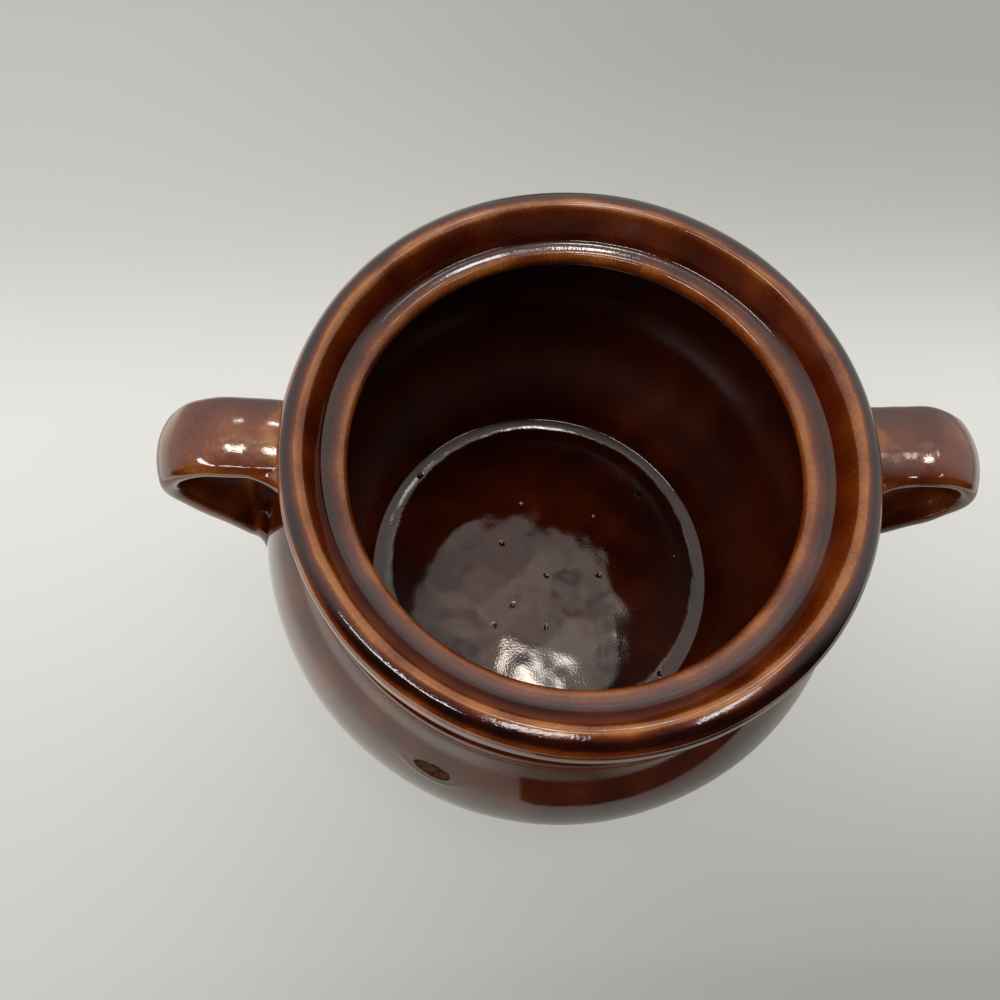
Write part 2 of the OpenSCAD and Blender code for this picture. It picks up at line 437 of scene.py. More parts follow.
def flaw_places(points):
    """Places along and up from the flaw, and how far out they lie, where its outline is 1."""
    radius = math.hypot(FLAW_PLACE[0], FLAW_PLACE[1])
    out = np.array([FLAW_PLACE[0], FLAW_PLACE[1], 0.0]) / radius
    lean = math.radians(sum(FLAW_BAND) / 2.0)
    level = np.array([-out[1], out[0], 0.0])
    upward = np.array([0.0, 0.0, math.cos(lean)]) - out * math.sin(lean)
    offset = points - np.array(FLAW_PLACE)
    u, w = offset @ level, offset @ upward
    half = np.where(u > 0.0, FLAW_BLUNT, FLAW_LONG)
    power = np.where(u > 0.0, BLUNT_POWER, LONG_POWER)
    reach = ((np.abs(u) / half) ** power + (np.abs(w) / FLAW_HIGH) ** power) ** (1.0 / power)
    away = 1.0 - (1.0 - reach) * FLAW_STEEP
    away = np.where(np.linalg.norm(offset, axis=1) < FLAW_REACH, away, FLAW_FAR)
    return u, w, away


def flaw_tone(u, w, away, points):
    """Darkness of the broken clay: most at the edge and upper left, with a crack and a small ring."""
    tone = TONE_BASE + uneven(points, TONE_RIPPLES)
    tone += TONE_EDGE * smooth(*TONE_EDGE_FROM, away)
    tone += TONE_CORNER * smooth(*TONE_UP, w) * smooth(*TONE_LEFT, -u)
    tone += CRACK_TONE * bell(u - CRACK_LEAN * w, CRACK_AT, CRACK_WIDE)
    tone += RING_TONE * bell(np.hypot(u - RING_AT[0], w - RING_AT[1]), RING_R, RING_WIDE)
    return tone


# Craters that burst bubbles left in the glaze of the floor, and how much darker the glaze is in them
CRATERS = [
    (-13.3, 10.0), (2.1, -1.7), (20.8, -1.5), (-16.5, -19.7), (-10.0, -12.6), (1.6, -20.4),
    (36.7, 29.5), (-6.2, 24.4), (19.4, 20.1), (-42.5, 36.2), (48.0, 6.0), (41.0, -36.0),
]
CRATER_R = 0.9
CRATER_DEPTH = 0.35
CRATER_DARK = 0.3
# Places on the section where the mouth lies off the middle along X: how far, and its share of stretch
MOUTH_OFFSETS = [
    ((RIM_R, RIM_LOW_Z + 2.0), -0.2, 0.0),
    ((CREST_R, POT_HEIGHT), -0.6, 0.008),
    ((SEAT_OUT_R, SEAT_Z), -0.7, 0.010),
    ((THROAT_R, SEAT_Z - LIP_ROUND), -1.0, 0.004),
    ((BELLY_R - WALL, BELLY_Z), 0.0, 0.0),
]


def mouth_offset(section, lengths, x):
    """How far the mouth lies off the middle along X, as it was turned a little out of true."""
    stations = [station(section, place) for place, shift, stretch in MOUTH_OFFSETS]
    shifts = np.interp(lengths, stations, [shift for place, shift, stretch in MOUTH_OFFSETS])
    stretches = np.interp(lengths, stations, [stretch for place, shift, stretch in MOUTH_OFFSETS])
    return shifts + stretches * x


def turn_angles():
    """Angles round the axis: fine steps across the flaw and even steps elsewhere."""
    middle = math.atan2(FLAW_PLACE[1], FLAW_PLACE[0])
    span = math.radians(FLAW_SPAN)
    fine = np.linspace(middle - span, middle + span, FINE_STEPS, endpoint=False)
    even = np.linspace(middle + span, middle + 2.0 * math.pi - span, TURN_STEPS, endpoint=False)
    return np.concatenate([fine, even])


def turned(pairs, turn):
    """Section values (out, up) taken round the axis at those angles."""
    out = pairs[:, 0]
    up = np.repeat(pairs[:, 1:2], len(turn), axis=1)
    return np.stack([np.outer(out, np.cos(turn)), np.outer(out, np.sin(turn)), up], axis=-1).reshape(-1, 3)


# Places on the section where the inside of the throat and the floor start
THROAT_PLACE = (THROAT_R, SEAT_Z - LIP_ROUND - 2.0)
FLOOR_PLACE = (FLOOR_R, FLOOR_Z)
# How far the glaze has run along the section, its streaks outside and its clouds inside, all as ripples
RUNS = [(0.30, 26.0, 41), (0.08, 7.0, 43)]
STREAKS = [(0.07, 13.0, 45)]
STREAK_STRETCH = (1.0, 1.0, 0.15)
CLOUDS = [(0.08, 42.0, 47), (0.048, 15.0, 49)]
# Painted shade on the front right of the rim's face, below its dark stripe: how much darker its colour is
# set there
FACE_PAINTED_SHADE = 0.40
FACE_FADE = 1.0
FACE_RIGHT = (-10.0, 45.0)
FACE_FRONT = (0.0, 40.0)
STRIPE_TILT = 40.0


def pot_depth(section, points, lengths, inside):
    """Depth of the pot's glaze, apart from its flaw and craters, with painted shade on the front right of
    the rim's face and inside the pot.
    """
    depth = glaze_depth(section, lengths + uneven(points, RUNS))
    depth += (1.0 - inside) * uneven(points * np.array(STREAK_STRETCH), STREAKS)
    edge_s = station(section, (RIM_R, RIM_LOW_Z + RIM_EDGE))
    stripe_s = station(section, on_corner(STRIPE_TILT))
    face = hump(lengths, (edge_s, edge_s + FACE_FADE), (stripe_s, stripe_s + FACE_FADE))
    # Painted shade: the front right of the rim's face is set darker
    depth += FACE_PAINTED_SHADE * face * smooth(*FACE_RIGHT, points[:, 0]) * smooth(*FACE_FRONT, -points[:, 1])
    depth += inside * uneven(points, CLOUDS)
    return depth


# Where the inner wall turns dull below the throat, and where that ends before the floor
WALL_DULL_IN = 6.0
WALL_DULL_OUT = (14.0, 8.0)
# How dull the front of the seat is, how softly that starts and ends, how far to the front, and from where
SEAT_DULL = 1.3
SEAT_FADE = 2.0
SEAT_FRONT = (5.0, 35.0)
SEAT_DULL_FROM = (SEAT_OUT_R + 1.0, SEAT_Z + 3.0)


def pot_dullness(section, points, lengths):
    """How dull the pot's glaze is: 1 on the inner wall, more on the front of the seat and 0 elsewhere."""
    throat_s = station(section, THROAT_PLACE)
    floor_s = station(section, FLOOR_PLACE)
    seat_s = station(section, SEAT_DULL_FROM)
    wall_end = (floor_s - WALL_DULL_OUT[0], floor_s - WALL_DULL_OUT[1])
    wall = hump(lengths, (throat_s, throat_s + WALL_DULL_IN), wall_end)
    seat = hump(lengths, (seat_s - SEAT_FADE, seat_s), (throat_s, throat_s + SEAT_FADE))
    return wall + SEAT_DULL * seat * smooth(*SEAT_FRONT, -points[:, 1])


# How far above the foot the surface starts to be uneven, and is so in full
UNEVEN_FROM = (2.0, 12.0)
# Ripples of the surface outside, with the fine ones stronger at the rim
SWELLS = [(0.10, 48.0, 3)]
FINE_SWELLS = [(1.0, 9.0, 5)]
FINE_SWELL = 0.004
RIM_SWELL = 0.008
# Ripples of the surface inside, stronger in the middle of the floor, and the radius where that ends
POOLS = [(1.0, 17.0, 11)]
POOL_SWELL = 0.022
MIDDLE_SWELL = 0.060
MIDDLE_END = (30.0, 46.0)
FINE_POOLS = [(0.014, 6.0, 13)]


def pot_relief(section, points, lengths, inside):
    """How far the pot's surface stands out in millimetres, apart from its flaw and craters."""
    foot_s = station(section, (FOOT_R, FOOT_BEVEL))
    glazed = smooth(foot_s + UNEVEN_FROM[0], foot_s + UNEVEN_FROM[1], lengths)
    middle = 1.0 - smooth(*MIDDLE_END, np.hypot(points[:, 0], points[:, 1]))
    rim = smooth(BEAD_Z, RIM_LOW_Z, points[:, 2])
    swell = uneven(points, SWELLS) + (FINE_SWELL + RIM_SWELL * rim) * uneven(points, FINE_SWELLS)
    pooled = (POOL_SWELL + MIDDLE_SWELL * middle) * uneven(points, POOLS) + uneven(points, FINE_POOLS)
    return glazed * (swell * (1.0 - inside) + pooled * inside)


# Places of the bare and the chipped clay among the pot's materials, and how high the bare clay reaches
BARE_SLOT = 1
CHIP_SLOT = 2
BARE_TOP = FOOT_BEVEL + 0.2
# Points at the two poles that lie closer than this, in metres, become one
POLE_MERGE = 1e-6


def build_pot(materials):
    """Body of the pot: its section turned once round, with the glaze's unevenness, flaw and craters."""
    section = pot_profile()
    turn = turn_angles()
    points = turned(section, turn)
    normals = turned(outward(section), turn)
    lengths = np.repeat(along(section), len(turn))
    inside = smooth(station(section, THROAT_PLACE), station(section, FLOOR_PLACE), lengths)
    u, w, flaw = flaw_places(points)
    craters = inside * dents(points[:, :2], CRATERS, CRATER_R, CRATER_DEPTH)
    depth = pot_depth(section, points, lengths, inside)
    depth += CRATER_DARK * craters / CRATER_DEPTH
    depth += EDGE_DEEPER * bell(flaw, 1.0, EDGE_WIDE)
    dull = pot_dullness(section, points, lengths)
    rise = pot_relief(section, points, lengths, inside)
    rise -= FLAW_DEPTH * (1.0 - smooth(FLAW_EDGE, 1.0, flaw))
    rise += RIDGE_HIGH * bell(flaw, RIDGE_AT, RIDGE_WIDE) * smooth(*RIDGE_COMES, -w)
    rise -= craters
    points = points + normals * rise[:, None]
    points[:, 0] += mouth_offset(section, lengths, points[:, 0])
    depth = np.where(flaw < 1.0, flaw_tone(u, w, flaw, points), depth)
    rings = len(section)
    faces = grid_faces(rings, len(turn))
    heights = section[:-1, 1] + np.diff(section[:, 1]) / 2.0
    under = (heights < BARE_TOP) & (np.arange(rings - 1) < rings // 2)
    face_slots = np.repeat(under * BARE_SLOT, len(turn)).astype(np.int32)
    face_slots[flaw[np.array(faces)].mean(axis=1) < 1.0] = CHIP_SLOT
    # The glaze values are the glaze's depth with painted shade added, inside the pot and on the front right
    # of the rim's face
    pot = add_mesh("pot_glazed", points, faces, {"glaze": depth, "dull": dull}, materials, face_slots)
    merge = pot.modifiers.new("poles", "WELD")
    merge.merge_threshold = POLE_MERGE
    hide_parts("pot_body")
    return section


def body_gap(points, section):
    """How far points lie outside the pot's outer wall."""
    crest = np.argmax(section[:, 1])
    wall = section[:crest]
    wall = wall[(wall[:, 1] > MEETING_HEIGHTS[0]) & (wall[:, 1] < MEETING_HEIGHTS[1])]
    order = np.argsort(wall[:, 1])
    radius = np.interp(points[:, 2], wall[order, 1], wall[order, 0])
    slope = np.gradient(wall[order, 0], wall[order, 1])
    lean = np.interp(points[:, 2], wall[order, 1], slope)
    lean = np.clip(lean, -LEAN_LIMIT, LEAN_LIMIT)
    return (np.hypot(points[:, 0], points[:, 1]) - radius) / np.sqrt(1.0 + lean**2)


def strap_path(reach, slope):
    """Middle of a strap in its own plane, as places (out, up)."""
    rise, lean = math.radians(slope), math.radians(STRAP_LEAN)
    bend_x = reach - STRAP_T / 2.0 - STRAP_BEND
    bend_z = STRAP_ROOT_Z + (bend_x - NECK_R) * math.tan(rise) - STRAP_BEND / math.cos(rise)
    start = np.array([bend_x - STRAP_BEND * math.sin(rise), bend_z + STRAP_BEND * math.cos(rise)])
    end = np.array([bend_x + STRAP_BEND * math.cos(lean), bend_z - STRAP_BEND * math.sin(lean)])
    root = start - (start[0] - NECK_R + STRAP_START) * np.array([1.0, math.tan(rise)])
    foot = end - STRAP_LOWER * np.array([math.sin(lean), math.cos(lean)])
    upper = line(root, start, STRAP_SPACING)
    turn = arc((bend_x, bend_z), STRAP_BEND, 90.0 + slope, -STRAP_LEAN, BEND_SPACING)
    lower = line(end, foot, STRAP_SPACING)
    return np.concatenate([upper[:-1], turn, lower[1:]])


def strap_section(width):
    """Section of a strap, two flat arcs and two round edges: its places and the way out at each."""
    half, thick = width / 2.0, STRAP_T / 2.0
    edge = (2.0 * STRAP_CROWN_R * thick - half**2 - thick**2) / (2.0 * (STRAP_CROWN_R - half))
    turn = math.degrees(math.asin((half - edge) / (STRAP_CROWN_R - edge)))
    drop = STRAP_CROWN_R - thick
    arcs = [
        ((half - edge, 0.0), edge, turn - 90.0, 90.0 - turn),
        ((0.0, -drop), STRAP_CROWN_R, 90.0 - turn, 90.0 + turn),
        ((edge - half, 0.0), edge, 90.0 + turn, 270.0 - turn),
        ((0.0, drop), STRAP_CROWN_R, 270.0 - turn, 270.0 + turn),
    ]
    spots = [arc(centre, radius, start, end, STRAP_SPACING)[:-1] for centre, radius, start, end in arcs]
    ways = [(spot - np.array(part[0])) / part[1] for spot, part in zip(spots, arcs)]
    return np.concatenate(spots), np.concatenate(ways)


# Depth of the glaze on the straps: its base, the difference between the two sides, and clouds as ripples
STRAP_DEPTH = 0.41
SIDE_DEPTH = 0.02
STRAP_CLOUDS = [(0.10, 16.0, 61)]
# More of it towards the back edge, less along both edges, by share of the half width, and darker underneath
BACK_DEEPER = 0.20
BACK_FROM = (0.1, 0.9)
EDGE_THINNER = 0.08
EDGE_FROM = (0.85, 1.0)
UNDER_DARKER = 0.05
UNDER_FROM = (0.5, 3.0)
# Less of it in a bow round each root, some way from the wall, and more of it pooled in the joint itself
ROOT_THINNER = 0.22
ROOT_AWAY = 7.0
ROOT_WIDE = 1.8
ROOT_BOW = 4.0
ROOT_MIDDLE = 0.1
JOINT_DEEPER = 0.36
JOINT_END = (1.0, 3.4)


def strap_depth(points, side, share, gap, over):
    """Depth of a strap's glaze by share of the half width, gap to the wall and height over its middle."""
    depth = STRAP_DEPTH + SIDE_DEPTH * side + uneven(points, STRAP_CLOUDS, side)
    depth += BACK_DEEPER * smooth(*BACK_FROM, share)
    depth -= EDGE_THINNER * smooth(*EDGE_FROM, np.abs(share))
    depth -= ROOT_THINNER * bell(gap + ROOT_BOW * np.abs(share - ROOT_MIDDLE), ROOT_AWAY, ROOT_WIDE)
    depth += JOINT_DEEPER * (1.0 - smooth(*JOINT_END, gap))
    depth += UNDER_DARKER * smooth(*UNDER_FROM, -over)
    return depth


def strap_wave(points, side):
    """How far a strap's surface stands out in millimetres: ripples, and the marks of fingers."""
    crossing = points * np.array(CROSS_STRETCH)
    marks = np.sin(2.0 * math.pi * points[:, 0] / MARK_LENGTH + uneven(crossing, MARK_WANDER, side))
    ripples = uneven(points, STRAP_RIPPLES, side) + uneven(crossing, CROSS_RIPPLES, side)
    return ripples + MARK_DEPTH * marks


def build_handle(name, side, node, shape, section, materials):
    """Strap handle on one side (-1 or 1), which spreads where it joins the neck and the belly."""
    reach, slope, width, back, drift = shape
    path = strap_path(reach, slope)
    s = along(path)
    heading = np.gradient(path, axis=0)
    heading /= np.linalg.norm(heading, axis=1)[:, None]
    up = np.stack([-heading[:, 1], heading[:, 0]], axis=1)
    outermost = s[np.argmax(path[:, 0])]
    sway = back - drift * hump(s - outermost, SWAY_COMES, SWAY_GOES)
    spots, ways = strap_section(width)
    across, over = spots[:, 0], spots[:, 1]
    narrowing = np.where(across > 0.0, NARROW_BACK, NARROW_FRONT)
    taper = 1.0 - np.outer(bell(s, outermost, NARROW_LENGTH), narrowing)

    def placed(y, lift):
        """Points at those distances across the strap and square to it."""
        out = path[:, 0][:, None] + up[:, 0][:, None] * lift
        high = path[:, 1][:, None] + up[:, 1][:, None] * lift
        return np.stack([side * out, sway[:, None] + y, high], axis=-1)

    y = across * taper
    lift = np.outer(np.ones(len(s)), over)
    points = placed(y, lift)
    gap = body_gap(points.reshape(-1, 3), section).reshape(y.shape)
    upper = (s < outermost)[:, None]
    side_reach = np.where(across < 0.0, np.where(upper, *FLARE_FRONT), np.where(upper, *FLARE_BACK))
    face_reach = np.where(over > 0.0, np.where(upper, *FLARE_TOP), np.where(upper, *FLARE_UNDER))
    blend_reach = side_reach * ways[:, 0] ** 2 + face_reach * ways[:, 1] ** 2
    spread = FLARE_SHARE * np.clip(blend_reach - np.maximum(gap, 0.0), 0.0, None) ** 2 / blend_reach
    points = placed(y + spread * ways[:, 0], lift + spread * ways[:, 1])
    flat = points.reshape(-1, 3)
    normal = (placed(y + ways[:, 0], lift + ways[:, 1]) - placed(y, lift)).reshape(-1, 3)
    flat = flat + normal * strap_wave(flat, side)[:, None]
    sunk = np.clip(-SUNK_DEPTH - body_gap(flat, section), 0.0, None)
    flat[:, :2] *= 1.0 + (sunk / np.hypot(flat[:, 0], flat[:, 1]))[:, None]
    share = np.tile(across, len(s)) / (width / 2.0)
    depth = strap_depth(flat, side, share, gap.reshape(-1), np.tile(over, len(s)))
    faces = grid_faces(len(s), len(spots))
    faces.append(list(range(len(spots))))
    faces.append([len(flat) - 1 - k for k in range(len(spots))])
    if side < 0:
        faces = [face[::-1] for face in faces]
    handle = add_mesh(name, flat, faces, {"glaze": depth}, materials)
    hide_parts(node)


class Nodes:
    """Adds and joins the nodes of a material or of the world."""

    def __init__(self, tree):
        self.tree = tree
        tree.nodes.clear()

    def add(self, kind, **settings):
        node = self.tree.nodes.new(kind)
        for key, value in settings.items():
            setattr(node, key, value)
        return node

    def feed(self, socket, source):
        """Joins a socket to an output, or sets it to a value."""
        if isinstance(source, bpy.types.NodeSocket):
            self.tree.links.new(source, socket)
        else:
            socket.default_value = source

    def noise(self, scale, detail, rough=0.5):
        place = self.add("ShaderNodeTexCoord")
        node = self.add("ShaderNodeTexNoise")
        self.feed(node.inputs["Vector"], place.outputs["Object"])
        self.feed(node.inputs["Scale"], scale)
        self.feed(node.inputs["Detail"], detail)
        self.feed(node.inputs["Roughness"], rough)
        return node.outputs["Fac"]

    def math(self, operation, *values):
        node = self.add("ShaderNodeMath", operation=operation)
        for socket, value in zip(node.inputs, values):
            self.feed(socket, value)
        return node.outputs[0]

    def centred(self, value, size):
        """A noise of 0 to 1 taken to run from -size / 2 to size / 2."""
        return self.math("MULTIPLY_ADD", value, size, -0.5 * size)

    def ramp(self, value, stops, kind="LINEAR"):
        """A colour by value, from stops of a place and a colour or a brightness."""
        node = self.add("ShaderNodeValToRGB")
        band = node.color_ramp
        band.interpolation = kind
        while len(band.elements) < len(stops):
            band.elements.new(1.0)
        for element, (place, colour) in zip(band.elements, stops):
            element.position = place
            element.color = (*np.broadcast_to(colour, 3), 1.0)
        self.feed(node.inputs["Fac"], value)
        return node.outputs["Color"]

    def bump(self, height, strength, distance):
        node = self.add("ShaderNodeBump")
        self.feed(node.inputs["Strength"], strength)
        self.feed(node.inputs["Distance"], distance)
        self.feed(node.inputs["Height"], height)
        return node.outputs["Normal"]

    def step(self, value, low, high):
        """0 below low, 1 above high, with an even turn between them."""
        node = self.add("ShaderNodeMapRange", interpolation_type="SMOOTHSTEP")
        for key, source in (("Value", value), ("From Min", low), ("From Max", high)):
            self.feed(node.inputs[key], source)
        return node.outputs["Result"]

    def mix(self, kind, share, first, second):
        """Two colours mixed or multiplied, the second by its share."""
        node = self.add("ShaderNodeMix", data_type="RGBA", blend_type=kind)
        for key, source in (("Factor_Float", share), ("A_Color", first), ("B_Color", second)):
            self.feed(next(socket for socket in node.inputs if socket.identifier == key), source)
        return next(socket for socket in node.outputs if socket.identifier == "Result_Color")

    def tint(self, first, second):
        return self.mix("MULTIPLY", 1.0, first, second)

    def emit(self, colour, strength=1.0):
        node = self.add("ShaderNodeEmission")
        self.feed(node.inputs["Color"], colour)
        self.feed(node.inputs["Strength"], strength)
        return node.outputs["Emission"]

    def blend(self, share, first, second):
        node = self.add("ShaderNodeMixShader")
        for socket, source in zip(node.inputs, (share, first, second)):
            self.feed(socket, source)
        return node.outputs["Shader"]

    def surface(self, **inputs):
        shader = self.add("ShaderNodeBsdfPrincipled")
        for key, value in inputs.items():
            self.feed(shader.inputs[key.replace("_", " ")], value)
        out = self.add("ShaderNodeOutputMaterial")
        self.feed(out.inputs["Surface"], shader.outputs["BSDF"])


def new_material(name):
    material = bpy.data.materials.new(name)
    material.use_nodes = True
    return material, Nodes(material.node_tree)


# Colour of the glaze from thin, where the clay shows through, to pooled
GLAZE_STOPS = [
    (0.00, (0.430, 0.175, 0.045)),
    (0.18, (0.320, 0.102, 0.020)),
    (0.36, (0.155, 0.031, 0.0040)),
    (0.55, (0.080, 0.0105, 0.0016)),
    (0.75, (0.033, 0.0040, 0.0008)),
    (1.00, (0.0080, 0.0022, 0.0014)),
]
# Fineness of the glaze's clouds and grain, and how far the grain goes
CLOUD_SCALE = 55.0
GRAIN_SCALE = 900.0
GRAIN_SIZE = 0.24
# Its bump: fine noise and small pimples
FINE_SCALE = 1500.0
PIMPLE_SCALE = 85.0
PIMPLE_STOPS = [(0.0, 1.0), (0.035, 0.0)]
BUMP_STRENGTH = 0.08
BUMP_HEIGHT = 0.0002
# Its roughness from thin to deep, and how much rougher it is where it is dull
ROUGH_STOPS = [(0.10, 0.09), (0.45, 0.055)]
DULL_ROUGH = 0.22


def glaze(name, mottle, ior):
    """Brown glaze: it breaks to tan where it runs thin, with mottling, grain and fine pimples."""
    material, nodes = new_material(name)
    depth = nodes.add("ShaderNodeAttribute", attribute_name="glaze").outputs["Fac"]
    cloud = nodes.centred(nodes.noise(CLOUD_SCALE, detail=3.0), mottle)
    grain = nodes.centred(nodes.noise(GRAIN_SCALE, detail=2.0, rough=0.6), GRAIN_SIZE)
    level = nodes.math("ADD", nodes.math("ADD", depth, cloud), grain)
    colour = nodes.ramp(level, GLAZE_STOPS)
    dots = nodes.add("ShaderNodeTexVoronoi")
    nodes.feed(dots.inputs["Vector"], nodes.add("ShaderNodeTexCoord").outputs["Object"])
    nodes.feed(dots.inputs["Scale"], PIMPLE_SCALE)
    pimples = nodes.ramp(dots.outputs["Distance"], PIMPLE_STOPS)
    bumpy = nodes.math("ADD", nodes.noise(FINE_SCALE, detail=2.0), pimples)
    normal = nodes.bump(bumpy, BUMP_STRENGTH, BUMP_HEIGHT)
    gloss = nodes.ramp(level, ROUGH_STOPS)
    dull = nodes.add("ShaderNodeAttribute", attribute_name="dull").outputs["Fac"]
    rough = nodes.math("MULTIPLY_ADD", dull, DULL_ROUGH, gloss)
    nodes.surface(Base_Color=colour, Roughness=rough, IOR=ior, Normal=normal)
    return material


# Colours of the dry clay under the foot, of the broken clay in the flaw from pale to dark, and of the card
CLAY_STOPS = [
    (0.20, (0.22, 0.15, 0.09)),
    (0.50, (0.44, 0.34, 0.23)),
    (0.85, (0.56, 0.46, 0.34)),
]
CHIP_STOPS = [
    (0.10, (0.112, 0.043, 0.019)),
    (0.50, (0.060, 0.020, 0.008)),
    (1.00, (0.012, 0.004, 0.003)),
]
CARD_STOPS = [
    (0.30, (0.010, 0.010, 0.010)),
    (0.70, (0.018, 0.017, 0.016)),
]


def bare_clay():
    """Unglazed stoneware of the foot: buff, dry and faintly speckled."""
    material, nodes = new_material("bare_clay")
    specks = nodes.centred(nodes.noise(scale=1500.0, detail=2.0), size=0.7)
    colour = nodes.ramp(nodes.math("ADD", nodes.noise(scale=60.0, detail=4.0), specks), CLAY_STOPS)
    normal = nodes.bump(nodes.noise(scale=1200.0, detail=3.0), strength=0.35, distance=0.0003)
    nodes.surface(Base_Color=colour, Roughness=0.86, Normal=normal)
    return material


def chipped_clay():
    """Brown-stained broken clay in the flaw: dull, with dark edges and cracks."""
    material, nodes = new_material("chipped_clay")
    tone = nodes.add("ShaderNodeAttribute", attribute_name="glaze").outputs["Fac"]
    specks = nodes.centred(nodes.noise(scale=1400.0, detail=2.0), size=0.3)
    colour = nodes.ramp(nodes.math("ADD", tone, specks), CHIP_STOPS)
    normal = nodes.bump(nodes.noise(scale=1800.0, detail=3.0), strength=0.4, distance=0.0003)
    nodes.surface(Base_Color=colour, Roughness=0.85, Specular_IOR_Level=0.12, Normal=normal)
    return material


# Place on the table from front to back: how much it grows over a metre, and its value at the pot
DEPTH_GROWS = 2.0
DEPTH_AT_POT = 0.35
# Painted light and shade in the table's colour: its brightness by that place, at the left and at the right
TABLE_TINT = (1.0, 1.0, 0.955)
LEFT_PAINTED_LIGHT = [(0.10, 0.62), (0.45, 0.80), (0.62, 0.62), (0.85, 0.53)]
RIGHT_PAINTED_LIGHT = [(0.10, 0.41), (0.45, 0.82), (0.64, 0.56), (0.80, 0.42)]
LEFT_TO_RIGHT = (-0.20, 0.12)
TABLE_ROUGH = 0.6
# How far the table is shown at one brightness, so that the pot's shadow stays faint
EVENED = 0.6
# Painted reflection: brightness that the table glows with in reflections only, from left to right over 1 m,
# close to the pot and then farther out
SIDEWAYS_AT_POT = 0.5
GLOSS_TINT = (1.0, 1.0, 0.90)
CLOSE_STOPS = [(0.37, 0.93), (0.43, 0.66), (0.50, 0.33), (0.58, 0.29), (0.65, 0.56)]
FAR_BRIGHT = 2.0
FAR_STOPS = [(0.30, 0.76), (0.38, 0.72), (0.47, 0.22), (0.55, 0.11), (0.65, 0.48)]
# By distance from the pot in metres, a dimmer ring lies between the two, and then the table fades
RING_STOPS = [(0.145, 1.0), (0.170, 0.76), (0.235, 0.78), (0.255, 1.0)]
FADE_STOPS = [(0.30, 1.0), (0.95, 0.55)]
FAR_FROM = (0.235, 0.265)
# Beyond this distance the table to the front is dark in reflections
DARK_FROM = (0.30, 0.42)
DARK_FRONT = (0.05, 0.20)


def painted_light_table():
    """Pale table with painted light and shade in its colour, evened out for the camera, and a painted
    brightness of its own in reflections.
    """
    material, nodes = new_material("painted_light_table")
    place = nodes.add("ShaderNodeTexCoord").outputs["Object"]
    parts = nodes.add("ShaderNodeSeparateXYZ")
    nodes.feed(parts.inputs["Vector"], place)
    depth = nodes.math("MULTIPLY_ADD", parts.outputs["Y"], DEPTH_GROWS, DEPTH_AT_POT)
    across = nodes.step(parts.outputs["X"], *LEFT_TO_RIGHT)
    # Painted light and shade: the table's colour is made lighter and darker by place
    left = nodes.ramp(depth, LEFT_PAINTED_LIGHT, "CARDINAL")
    right = nodes.ramp(depth, RIGHT_PAINTED_LIGHT, "CARDINAL")
    colour = nodes.tint(nodes.mix("MIX", across, left, right), (*TABLE_TINT, 1.0))
    away = nodes.add("ShaderNodeVectorMath", operation="LENGTH")
    nodes.feed(away.inputs[0], place)
    distance = away.outputs["Value"]
    sideways = nodes.math("ADD", parts.outputs["X"], SIDEWAYS_AT_POT)
    ring = nodes.tint(nodes.ramp(distance, RING_STOPS), (*GLOSS_TINT, 1.0))
    fade = nodes.tint(nodes.ramp(distance, FADE_STOPS), (*GLOSS_TINT, 1.0))
    close = nodes.emit(nodes.tint(nodes.ramp(sideways, CLOSE_STOPS), ring))
    forward = nodes.math("MULTIPLY", parts.outputs["Y"], -1.0)
    dark = nodes.math("MULTIPLY", nodes.step(distance, *DARK_FROM), nodes.step(forward, *DARK_FRONT))
    lit = nodes.math("MULTIPLY_ADD", dark, -FAR_BRIGHT, FAR_BRIGHT)
    far = nodes.emit(nodes.tint(nodes.ramp(sideways, FAR_STOPS), fade), lit)
    # Painted reflection: the glaze mirrors this glow of the table, not the lit table
    painted_reflection = nodes.blend(nodes.step(distance, *FAR_FROM), close, far)
    shader = nodes.add("ShaderNodeBsdfPrincipled")
    nodes.feed(shader.inputs["Base Color"], colour)
    nodes.feed(shader.inputs["Roughness"], TABLE_ROUGH)
    path = nodes.add("ShaderNodeLightPath")
    evened = nodes.math("MULTIPLY", path.outputs["Is Camera Ray"], EVENED)
    seen = nodes.blend(evened, shader.outputs["BSDF"], nodes.emit(colour))
    shown = nodes.blend(path.outputs["Is Glossy Ray"], seen, painted_reflection)
    nodes.feed(nodes.add("ShaderNodeOutputMaterial").inputs["Surface"], shown)
    return material


def dark_card():
    """Dull black card that keeps the front of the pot from going pale with reflected table."""
    material, nodes = new_material("dark_card")
    colour = nodes.ramp(nodes.noise(scale=40.0, detail=2.0), CARD_STOPS)
    nodes.surface(Base_Color=colour, Roughness=0.9)
    return material


def add_sheet(name, corners, z, material):
    """Flat level sheet with those corners (x, y), beside the object and no part of it."""
    mesh = bpy.data.meshes.new(name)
    mesh.from_pydata([(x * MM, y * MM, z * MM) for x, y in corners], [], [range(len(corners))])
    mesh.materials.append(material)
    sheet = bpy.data.objects.new(name, mesh)
    bpy.context.scene.collection.objects.link(sheet)
    return sheet


# Half the length of the table's sides
TABLE_HALF = 2500.0
# Corners of the card that paints a dark reflection on the glaze of the front, and how high it lies over the
# table
CARD_CORNERS = [(-36.0, -245.0), (210.0, -245.0), (170.0, -146.0), (-10.0, -146.0), (-18.0, -152.0)]
CARD_LIFT = 0.5


def build_stage():
    """Large table that the pot stands on, and a card on it in front that shows only in reflections."""
    corners = [(x * TABLE_HALF, y * TABLE_HALF) for x, y in ((-1, -1), (1, -1), (1, 1), (-1, 1))]
    add_sheet("table", corners, 0.0, painted_light_table())
    card = add_sheet("card", CARD_CORNERS, CARD_LIFT, dark_card())
    card.visible_camera = False
    card.visible_diffuse = False
    card.visible_shadow = False


# Distance of the lamps from the pot and the height that they face, in metres
LAMP_AWAY = 1.3
LAMP_AIM = 0.1
